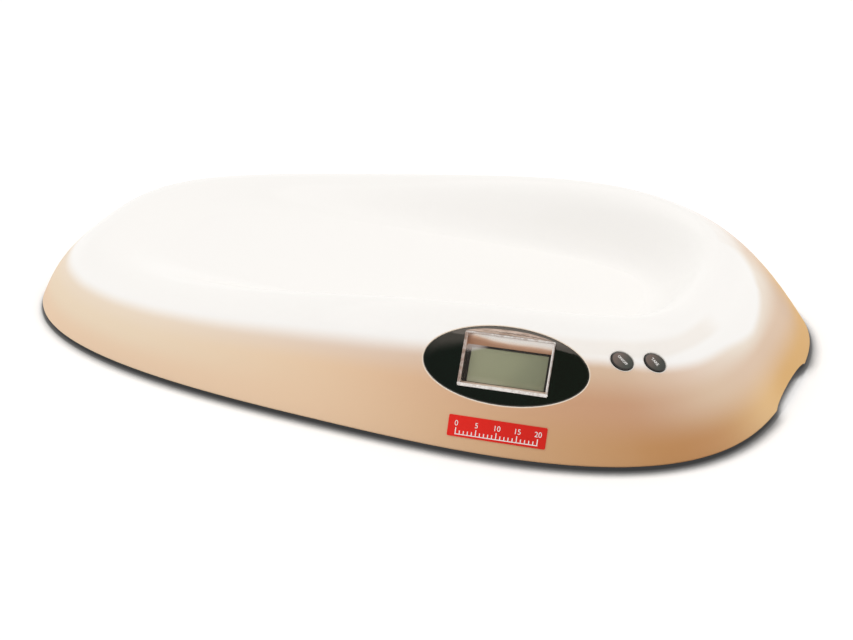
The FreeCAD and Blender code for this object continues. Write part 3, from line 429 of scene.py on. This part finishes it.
window_inset = Vector((4.95, 9.95)) * mm  # seen corner of the glass, in from the lens's upper left corner
glare_reach = Vector((13.0, 4.5)) * mm  # of the pale glare from that corner, along the glass and down it
brow_height = 3.6 * mm
brow_start = 0.5 * mm  # the brow starts this much in from the lens's left corner
brow_end = 2.7 * mm  # and stops this much short of its right corner
brow_gap = 0.3 * mm
brow_foot = 0.2 * mm  # height of the brow at its ends
brow_fullness = 2.4  # power of its arch; a higher one is squarer
brow_thickness = 0.2 * mm
brow_lift = 0.22 * mm
lens_edge_widths = (2.5 * mm, 1.2 * mm, 2.7 * mm, 1.6 * mm)  # milky band at the left, right, foot, head
side_wall_skin = (0.05 * mm, 0.35 * mm)  # depth over which the lens's right wall turns milky
shelf_shadow = Vector((7, 9)) * mm  # painted brown shadow in the shelf's corner, along it and down it
end_wall_width = 2.0 * mm


def bezel_gloss():
    """Black gloss plastic, a trace green, with faint wiping marks."""
    f = Finish("bezel_gloss")
    place = f.place()
    black, lighter = (0.0005, 0.004, 0.002), (0.0015, 0.008, 0.005)
    marks = f.noise(place, 140.0, detail=5.0, roughness=0.65)
    return f.surface(
        Base_Color=f.mix(f.noise(place, 30.0), black, lighter),
        Roughness=0.04 + f.smooth(marks, 0.5, 0.8) * 0.06,
        Specular_IOR_Level=1.0,
        Specular_Tint=(1.0, 0.86, 0.77),
        Normal=f.bump(marks, 0.01 * mm),
    )


def clear_lens():
    """Clear moulded box with painted highlights: its cut edges are painted pale and milky, most of all along the
    foot, where they would gather the light.
    """
    f = Finish("clear_lens")
    place = f.place()
    tan, pale = (0.62, 0.44, 0.36), (0.88, 0.85, 0.82)
    u, v, _ = offsets(f, place, display_seat)
    insets = (u - lens_low.x, lens_high.x - u, v - lens_low.y, lens_high.y - v)
    left, right, foot, head = (
        f.fall(inset, width * 0.7, width) for inset, width in zip(insets, lens_edge_widths)
    )
    right = right * (0.25 + f.smooth(lens_high.x - u, *side_wall_skin) * 0.75)
    streaks = f.smooth(f.noise(place, 420.0, detail=3.0, roughness=0.6), 0.38, 0.66)
    haze = f.smooth(f.noise(place, 220.0, detail=4.0), 0.55, 0.9)
    # Painted highlight: the edges turn pale and milky where they would gather the light
    light = (streaks * 0.5 + foot * 0.75 + right * 0.5 + head * 0.5).least(1.0)
    milky = (left * 0.62).most(right * 0.7).most(foot).most(head * 0.85) * (0.8 + streaks * 0.2)
    return f.surface(
        Base_Color=f.mix(light, tan, pale),
        Roughness=0.05 + haze * 0.1,
        Specular_IOR_Level=0.15,
        Alpha=0.02 + haze * 0.02 + milky,
        Normal=f.bump(f.noise(place, 120.0, detail=1.0), 0.01 * mm),
    )


def lens_brow():
    """Milky tan edge of the lens where it runs out into the bezel, with one dark ragged line along it."""
    f = Finish("lens_brow")
    dull, pale, dark = (0.50, 0.36, 0.28), (0.66, 0.52, 0.43), (0.14, 0.09, 0.07)
    u, v, _ = offsets(f, f.place(), display_seat)
    ripples = f.smooth(f.noise(f.pair(u * 0.2, v), 420.0, detail=3.0, roughness=0.6), 0.36, 0.62)
    along = (u - lens_low.x) / (lens_high.x - lens_low.x)
    ragged = f.drift(f.pair(u, v * 0.2), 520.0, 1.6 * mm)
    climb = v - lens_high.y + ragged - (along * (1.0 - along)) * brow_height * 2.2
    line = f.band(climb, -0.6 * mm, -0.1 * mm, 0.1 * mm, 0.6 * mm) * f.smooth(along, 0.18, 0.5)
    return f.surface(
        Base_Color=f.mix(line * 0.8, f.mix(ripples, dull, pale), dark),
        Roughness=0.12,
        Specular_IOR_Level=0.3,
        Alpha=0.75 + ripples * 0.2,
    )


def glare(f, u, v):
    """Share of the pale glare at the upper left corner of the glass, over the mask beside it too."""
    across = (u - (lens_low.x + window_inset.x)).most(0.0) / glare_reach.x
    down = (lens_high.y - window_inset.y - v).most(0.0) / glare_reach.y
    return f.fall(across + down + f.drift(f.pair(u, v), 300.0, 0.2), 0.3, 1.0)


def frame_plastic():
    """Light plastic with painted shade, near white at the top of its shelf and tan at the foot, browner to the
    left, and a painted brown shadow in its upper left corner.
    """
    f = Finish("frame_plastic")
    place = f.place()
    # Painted shade down the shelf, from near white at its top to tan at its foot
    shelf_shade_tones = [
        (0.0, (0.46, 0.24, 0.14)),
        (0.35, (0.68, 0.44, 0.31)),
        (0.6, (0.90, 0.78, 0.68)),
        (0.9, (0.97, 0.93, 0.89)),
    ]
    corner_shadow_brown, wall_black, glare_grey = (0.30, 0.16, 0.11), (0.008, 0.012, 0.009), (0.58, 0.50, 0.46)
    foot_grey = (0.60, 0.53, 0.44)
    u, v, depth = offsets(f, place, display_seat)
    sunk = f.fall(u, lcd_frame_low.x, 0.0) * 2.0 * mm
    rise = f.smooth(depth + f.drift(place, 60.0, 1.2 * mm) - sunk, lcd_frame_low.z, lcd_frame_high.z)
    # painted brown shadow in the shelf's upper left corner
    corner = (u - lcd_frame_low.x) / shelf_shadow.x + (lcd_frame_high.y - v) / shelf_shadow.y
    colour = f.mix(f.fall(corner, 0.35, 1.0) * 0.8, f.ramp(rise, shelf_shade_tones), corner_shadow_brown)
    shelf_foot = lens_high.y - window_inset.y
    below = f.fall(v, shelf_foot - 0.2 * mm, shelf_foot + 0.8 * mm)
    end_wall = f.fall(u - lens_low.x, end_wall_width, end_wall_width + 0.2 * mm) * below
    colour = f.mix(end_wall, colour, f.mix(glare(f, u, v), wall_black, glare_grey))
    foot_wall = f.fall(v - lcd_frame_low.y, 2.5 * mm, 4.0 * mm)
    colour = f.mix(foot_wall * 0.6, colour, foot_grey)
    return f.surface(
        Base_Color=colour,
        Roughness=0.32,
        Specular_IOR_Level=0.2,
        Normal=f.bump(f.noise(place, 1500.0), 0.02 * mm),
    )


def mask_film():
    """Flat black film round the glass, with painted glare at its upper left and painted light along the glass's
    foot.
    """
    f = Finish("mask_film")
    place = f.place()
    black, lighter = (0.006, 0.008, 0.006), (0.010, 0.012, 0.010)
    lit_foot_green, glare_grey = (0.24, 0.23, 0.17), (0.62, 0.55, 0.52)
    u, v, _ = offsets(f, place, display_seat)
    grain = f.noise(place, 3300.0, detail=2.0)
    tone = f.mix(grain, black, lighter)
    # painted light along the glass's foot
    tone = f.mix(f.fall(v - glass_low.y, -0.3 * mm, 0.0), tone, lit_foot_green)
    return f.surface(
        Base_Color=f.mix(glare(f, u, v) * 0.85, tone, glare_grey),
        Roughness=0.45 + grain * 0.1,
        Specular_IOR_Level=0.1,
    )


def liquid_crystal():
    """Grey-green glass, lighter to the left and along the foot, with a pale glare at its upper left."""
    f = Finish("liquid_crystal")
    place = f.place()
    greens = [(0.0, (0.33, 0.345, 0.225)), (0.5, (0.295, 0.315, 0.20)), (1.0, (0.215, 0.235, 0.15))]
    speck, foot_light, glare_grey = (0.36, 0.39, 0.30), (0.46, 0.465, 0.335), (0.68, 0.65, 0.63)
    u, v, _ = offsets(f, place, display_seat)
    shade = f.smooth(u - v * 0.3 + f.drift(place, 60.0, 14 * mm), -30 * mm, 34 * mm)
    colour = f.mix(f.noise(place, 2500.0, detail=1.0) * 0.12, f.ramp(shade, greens), speck)
    lit_foot = f.fall(v - glass_low.y, 2 * mm, 9 * mm)
    to_left = f.fall(u, -15 * mm, 6 * mm)
    colour = f.mix(lit_foot * (0.2 + to_left * 0.6), colour, foot_light)
    colour = f.mix(glare(f, u, v) * 0.9, colour, glare_grey)
    return f.surface(Base_Color=colour, Roughness=0.22, Specular_IOR_Level=0.2)


# ---------------------------------------------------------------- other finishes


def moulded(name, colour, roughness, grain_size, depth, spread=0.12):
    """Moulded or coated finish: a colour that drifts a little, over a fine grain."""
    f = Finish(name)
    place = f.place()
    darker = tuple(c * (1 - spread) for c in colour)
    grain = f.noise(place, 1 / grain_size, detail=2.0)
    return f.surface(
        Base_Color=f.mix(f.noise(place, 25.0), darker, colour),
        Roughness=roughness - 0.06 + grain * 0.12,
        Normal=f.bump(grain, depth),
    )


def metal(name, colour, roughness, grain_size, depth):
    """Plated or bare metal with a fine worn grain."""
    f = Finish(name)
    grain = f.noise(f.place(), 1 / grain_size, detail=4.0)
    darker = tuple(c * 0.75 for c in colour)
    return f.surface(
        Base_Color=f.mix(f.smooth(grain, 0.35, 0.7), darker, colour),
        Roughness=roughness - 0.08 + grain * 0.16,
        Metallic=1.0,
        Normal=f.bump(grain, depth),
    )


def circuit_board():
    """Green solder mask over tracks and bare pads."""
    f = Finish("circuit_board")
    place = f.place()
    mask, track, pad = (0.012, 0.085, 0.035), (0.03, 0.17, 0.07), (0.62, 0.60, 0.55)
    settings = {"distance": "MANHATTAN", "feature": "F1"}
    inputs = {"Vector": place, "Scale": 190.0, "Randomness": 0.0}
    cell = f.node("ShaderNodeTexVoronoi", settings, inputs, out="Distance")
    inputs = {"Vector": place, "Scale": 110.0}
    waves = f.node("ShaderNodeTexWave", {"bands_direction": "DIAGONAL"}, inputs, out="Fac")
    copper = f.smooth(waves, 0.62, 0.7)
    colour = f.mix(f.fall(cell, 0.1, 0.16), f.mix(copper, mask, track), pad)
    return f.surface(Base_Color=colour, Roughness=0.35, Normal=f.bump(copper, 0.03 * mm))


def button_cap():
    """Dark grey satin plastic with painted light and shade: lighter at the upper left of each button, nearly black
    down the rim.
    """
    f = Finish("button_cap")
    place = f.place()
    shaded_cool, lit_warm = (0.040, 0.046, 0.037), (0.155, 0.110, 0.090)
    worn, painted_rim_tone = (0.10, 0.09, 0.08), (0.022, 0.020, 0.017)
    out = -press_axis["power_press"]
    first, second = (middle(button) for button in buttons)
    turn = seat(out, first).to_3x3()
    lean = (turn.col[1] - turn.col[0]).normalized()
    climb = f.along(f.vector("SUBTRACT", place, tuple(first)), lean)
    between = (first.x + second.x) / 2
    climb = climb - f.smooth(f.part(place, "X"), between - mm, between + mm) * lean.dot(second - first)
    wear = f.smooth(f.noise(place, 420.0, detail=4.0), 0.45, 0.75)
    # Painted light: each cap lighter towards its upper left; painted shade below makes it nearly black down the
    # rim
    top = f.mix(f.smooth(climb, -6 * mm, 7 * mm), shaded_cool, lit_warm)
    top = f.mix(wear * 0.25, top, worn)
    crown = f.along(f.normal(), out)
    return f.surface(
        Base_Color=f.mix(f.smooth(crown, 0.93, 0.998), painted_rim_tone, top),
        Roughness=0.34 + wear * 0.12,
        Normal=f.bump(f.noise(place, 2600.0, detail=1.0), 0.03 * mm),
    )


def red_film():
    """Red gloss label film with a faint print grain, and painted shade that makes it deeper towards the head end.
    """
    f = Finish("red_film")
    place = f.place()
    bright, shaded_deep, speck = (0.82, 0.022, 0.014), (0.70, 0.020, 0.012), (0.50, 0.012, 0.008)
    grain = f.noise(place, 1800.0, detail=1.0)
    low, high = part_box("blank_label")
    # painted shade: deeper red towards the head end
    shaded_red = f.mix(f.smooth(f.part(place, "X"), low.x, high.x), bright, shaded_deep)
    return f.surface(
        Base_Color=f.mix(grain * 0.15, shaded_red, speck),
        Roughness=0.28 + grain * 0.06,
        Specular_IOR_Level=0.25,
    )


def white_ink():
    """Printed white with a faint grain."""
    f = Finish("white_ink")
    grain = f.noise(f.place(), 1600.0, detail=2.0)
    return f.surface(Base_Color=f.mix(grain, (0.80, 0.79, 0.76), (0.90, 0.89, 0.87)), Roughness=0.45)


FINISHES = {
    "cradle_shell": gloss_shell(),
    "cover_plastic": moulded("cover_plastic", (0.80, 0.77, 0.72), 0.55, 0.4 * mm, 0.06 * mm, 0.06),
    "label_film": red_film(),
    "bezel_plastic": bezel_gloss(),
    "clear_plastic": clear_lens(),
    "light_frame": frame_plastic(),
    "mask_film": mask_film(),
    "lcd_glass": liquid_crystal(),
    "rubber": moulded("rubber", (0.045, 0.045, 0.047), 0.8, 0.5 * mm, 0.08 * mm, 0.3),
    "circuit_board": circuit_board(),
    "chip_plastic": moulded("chip_plastic", (0.03, 0.03, 0.032), 0.5, 0.25 * mm, 0.02 * mm),
    "capacitor_sleeve": moulded("capacitor_sleeve", (0.03, 0.04, 0.09), 0.35, 0.5 * mm, 0.01 * mm),
    "header_plastic": moulded("header_plastic", (0.85, 0.82, 0.74), 0.45, 0.3 * mm, 0.02 * mm),
    "gauge_resin": moulded("gauge_resin", (0.75, 0.36, 0.10), 0.3, 0.6 * mm, 0.03 * mm),
    "spring_metal": metal("spring_metal", (0.70, 0.69, 0.66), 0.3, 0.6 * mm, 0.01 * mm),
    "lead_sleeve": moulded("lead_sleeve", (0.22, 0.22, 0.23), 0.5, 0.4 * mm, 0.03 * mm),
    "button_plastic": button_cap(),
    "switch_plastic": moulded("switch_plastic", (0.04, 0.04, 0.042), 0.45, 0.25 * mm, 0.02 * mm),
    "screw_steel": metal("screw_steel", (0.62, 0.61, 0.60), 0.35, 0.4 * mm, 0.02 * mm),
    "battery_can": metal("battery_can", (0.50, 0.51, 0.54), 0.32, 0.5 * mm, 0.01 * mm),
    "cell_steel": metal("cell_steel", (0.58, 0.58, 0.57), 0.38, 0.3 * mm, 0.02 * mm),
    "clamp_plastic": moulded("clamp_plastic", (0.62, 0.62, 0.60), 0.5, 0.3 * mm, 0.03 * mm),
    "foot_plastic": moulded("foot_plastic", (0.55, 0.54, 0.52), 0.5, 0.3 * mm, 0.04 * mm),
}
WHITE_INK = white_ink()


def finish_cad_nodes():
    for row in frame["record"]["subparts"]:
        mesh = nodes[row["node"]].data
        mesh.materials.clear()
        mesh.materials.append(FINISHES[row["material_slot"]])


# ---------------------------------------------------------------- prints and brow

button_print_turn = math.radians(-57)  # the words fall to the right
button_ink = 0.08 * mm
button_ink_boldness = 0.05 * mm
button_ink_lift = 0.03 * mm

label_ink = 0.04 * mm
label_ink_lift = 0.05 * mm
scale_margin = 6 * mm  # from each end of the label to the graduation
scale_foot = 2.2 * mm  # from the label's lower edge to the foot of the ticks
line_width = 0.6 * mm
line_overhang = 0.5 * mm  # of that line past the first and last tick's middle
tick_half_width = 0.35 * mm
major_tick, minor_tick = 4.2 * mm, 2.4 * mm
majors, minors = 4, 5  # numbered steps, and ticks to each
numeral_step = 5
numeral_height = 5.4 * mm
numeral_rise = 7.2 * mm  # of a numeral's middle over the line

ray_height = 20 * mm  # a wrapped piece is dropped onto its node from here


def laid_on(bm, placement, node, lift):
    """Wraps a flat mesh onto a CAD node, down the Z of a placement; a vertex keeps its own height."""
    tree = BVHTree.FromObject(nodes[node], bpy.context.evaluated_depsgraph_get())
    out = placement.to_3x3().col[2]
    for vertex in bm.verts:
        height = vertex.co.z
        start = placement @ Vector((vertex.co.x, vertex.co.y, ray_height))
        hit, _, _, _ = tree.ray_cast(start, -out)
        vertex.co = hit + out * (lift + height)


def stand(name, bm, material):
    """Turns a bmesh into an object of the scene."""
    mesh = bpy.data.meshes.new(name)
    bm.to_mesh(mesh)
    bm.free()
    mesh.materials.append(material)
    made = bpy.data.objects.new(name, mesh)
    scene.collection.objects.link(made)
    return made


def piece(name, bm, material, body):
    made = stand(name, bm, material)
    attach(made, body)


def lettering(words, height, thickness, boldness=0.0):
    """Flat raised letters, centred, as a bmesh with small enough faces to wrap."""
    data = bpy.data.curves.new("letters", "FONT")
    data.body = words
    data.size = height
    data.align_x = "CENTER"
    data.align_y = "CENTER"
    data.extrude = thickness / 2
    data.offset = boldness
    source = bpy.data.objects.new("letters", data)
    scene.collection.objects.link(source)
    mesh = source.to_mesh()
    bm = bmesh.new()
    bm.from_mesh(mesh)
    source.to_mesh_clear()
    bpy.data.objects.remove(source)
    bmesh.ops.remove_doubles(bm, verts=bm.verts, dist=1e-7)
    bmesh.ops.recalc_face_normals(bm, faces=bm.faces[:])
    return bm


def button_print(words, height, button):
    """White word across an oval button."""
    placement = seat(-press_axis[buttons[button]], middle(button))
    placement = placement @ Matrix.Rotation(button_print_turn, 4, "Z")
    bm = lettering(words, height, button_ink, button_ink_boldness)
    laid_on(bm, placement, button, button_ink_lift)
    piece(button + "_print", bm, WHITE_INK, button)


def strips(bm, spans):
    """Adds flat strips, each given by its low and high x and y, cut fine enough to wrap."""
    for (low_x, high_x), (low_y, high_y) in spans:
        centre = Vector(((low_x + high_x) / 2, (low_y + high_y) / 2, 0))
        size = Vector(((high_x - low_x) / 2, (high_y - low_y) / 2, 1))
        place = Matrix.Translation(centre) @ Matrix.Diagonal(size).to_4x4()
        steps = max(1, round((high_x - low_x) / (2 * mm)))
        bmesh.ops.create_grid(bm, x_segments=steps, y_segments=3, size=1.0, matrix=place)


def label_print():
    """White graduations and their numerals on the red label."""
    side = Vector((0.1, -0.95, 0.3)).normalized()
    placement = seat(facing("blank_label", side), middle("blank_label"))
    low, high = span("blank_label", placement)
    reach = (high.x - low.x) / 2 - scale_margin
    foot = low.y + scale_foot
    step = 2 * reach / (majors * minors)
    spans = []
    for i in range(majors * minors + 1):
        x = i * step - reach
        tall = minor_tick if i % minors else major_tick
        spans.append(((x - tick_half_width, x + tick_half_width), (foot, foot + tall)))
    spans.append(((-reach - line_overhang, reach + line_overhang), (foot - line_width, foot)))
    bm = bmesh.new()
    strips(bm, spans)
    bmesh.ops.solidify(bm, geom=bm.faces[:], thickness=label_ink)
    bmesh.ops.recalc_face_normals(bm, faces=bm.faces[:])
    for i in range(majors + 1):
        numeral = lettering(str(numeral_step * i), numeral_height, label_ink)
        shift = Vector((i * minors * step - reach, foot + numeral_rise, 0))
        bmesh.ops.translate(numeral, verts=numeral.verts, vec=shift)
        carrier = bpy.data.meshes.new("numeral")
        numeral.to_mesh(carrier)
        numeral.free()
        bm.from_mesh(carrier)
        bpy.data.meshes.remove(carrier)
    laid_on(bm, placement, "blank_label", label_ink_lift)
    piece("label_print", bm, WHITE_INK, "scale_body")


def brow_over_lens():
    """Thin arched rim of the lens that runs up the bezel above the window."""
    reach = (lens_high.x - lens_low.x - brow_start - brow_end) / 2
    bm = bmesh.new()
    bmesh.ops.create_grid(bm, x_segments=40, y_segments=4, size=1.0)
    for vertex in bm.verts:
        along, climb = vertex.co.x, (vertex.co.y + 1) / 2
        arch = brow_foot + brow_height * (1 - abs(along) ** brow_fullness)
        x = lens_low.x + brow_start + reach * (1 + along)
        vertex.co = Vector((x, lens_high.y + brow_gap + climb * arch, 0))
    bmesh.ops.solidify(bm, geom=bm.faces[:], thickness=brow_thickness)
    bmesh.ops.recalc_face_normals(bm, faces=bm.faces[:])
    laid_on(bm, display_seat, "display_bezel", brow_lift)
    piece("lens_brow", bm, lens_brow(), "scale_body")


# ---------------------------------------------------------------- table and light

table_half = 6.0
table_lift = 0.10  # share of white that the table adds for what looks at it
contact_reach = 21 * mm
shadow_lean = (-0.42, 0.34, 1.0)  # the way the shadow looks for cover, so that it falls to +X and -Y
# Two steps out of the contact shadow: how open the table is where each starts and ends, and the light it adds
shadow_steps = ((0.25, 0.6, 0.11), (0.65, 0.885, 0.89))

lamp_spot = (0.0, -0.05, 2.0)
lamp_target = (0.0, -0.05, 0.0)
lamp_size = (2.6, 2.8)
lamp_power = 22.9
lamp_colour = (1.0, 0.985, 0.97)

# Room: white low down and a trace grey above, with dark corners given by azimuth, elevation, inner and
# outer radius in degrees, and colour
room_low, room_high = (1.0, 1.0, 1.0), (0.72, 0.71, 0.70)
dark_corners = [
    (-10.0, 36.0, 13.0, 19.0, (0.10, 0.10, 0.10)),
    (14.0, 43.0, 13.0, 18.0, (0.10, 0.09, 0.08)),
    (36.0, 37.0, 9.0, 16.0, (0.13, 0.07, 0.04)),
]


def table_finish():
    """White top with a painted contact shadow: it darkens close under the skirt, away from the lamp."""
    f = Finish("table_top")
    dark, shaded = (0.02, 0.02, 0.02), (0.45, 0.45, 0.45)
    inputs = {"Distance": contact_reach, "Normal": f.vector("NORMALIZE", shadow_lean)}
    free = f.node("ShaderNodeAmbientOcclusion", {"samples": 32}, inputs, out="AO")
    first, second = (f.smooth(free, low, high) * light for low, high, light in shadow_steps)
    open_table = first + second
    pale = f.mix(f.noise(f.place(), 3.0) * 0.03, (0.97, 0.97, 0.97), (0.94, 0.94, 0.94))
    path = "ShaderNodeLightPath"
    seen = f.node(path, out="Is Camera Ray").most(f.node(path, out="Is Glossy Ray"))
    seen = seen.most(f.node(path, out="Is Transmission Ray"))
    return f.surface(
        Base_Color=f.mix(open_table, dark, pale),
        Roughness=0.9,
        Specular_IOR_Level=0.1,
        Emission_Color=f.mix(seen, (0, 0, 0), f.mix(open_table, shaded, pale)),
        Emission_Strength=table_lift,
    )


def table_top():
    bm = bmesh.new()
    bmesh.ops.create_grid(bm, x_segments=1, y_segments=1, size=table_half)
    stand("table_top", bm, table_finish())


def hang_lamp():
    """Wide soft lamp over the scale."""
    data = bpy.data.lights.new("overhead", "AREA")
    data.shape = "RECTANGLE"
    data.size, data.size_y = lamp_size
    data.energy = lamp_power
    data.color = lamp_colour
    lamp = bpy.data.objects.new("overhead", data)
    lamp.location = Vector(lamp_spot)
    lamp.rotation_mode = "QUATERNION"
    lamp.rotation_quaternion = (Vector(lamp_target) - Vector(lamp_spot)).to_track_quat("-Z", "Y")
    scene.collection.objects.link(lamp)


def light_room():
    """Bright even room with dark corners high behind the viewer."""
    world = bpy.data.worlds.new("studio")
    world.use_nodes = True
    scene.world = world
    f = Finish("studio", world.node_tree)
    way = f.node("ShaderNodeTexCoord", out="Generated")
    colour = f.mix(f.smooth(f.part(way, "Z"), 0.1, 0.4), room_low, room_high)
    for azimuth, elevation, inner, outer, shade in dark_corners:
        near = f.along(way, heading(math.radians(azimuth), math.radians(elevation)))
        share = f.smooth(near, math.cos(math.radians(outer)), math.cos(math.radians(inner)))
        colour = f.mix(share, colour, shade)
    background = f.node("ShaderNodeBackground", None, {"Color": colour})
    f.close(background.socket, "ShaderNodeOutputWorld")
    scene.view_settings.view_transform = "Standard"


set_camera()
finish_cad_nodes()
button_print("ON/OFF", 2.4 * mm, "power_button")
button_print("TARE", 2.8 * mm, "tare_button")
label_print()
brow_over_lens()
table_top()
hang_lamp()
light_room()
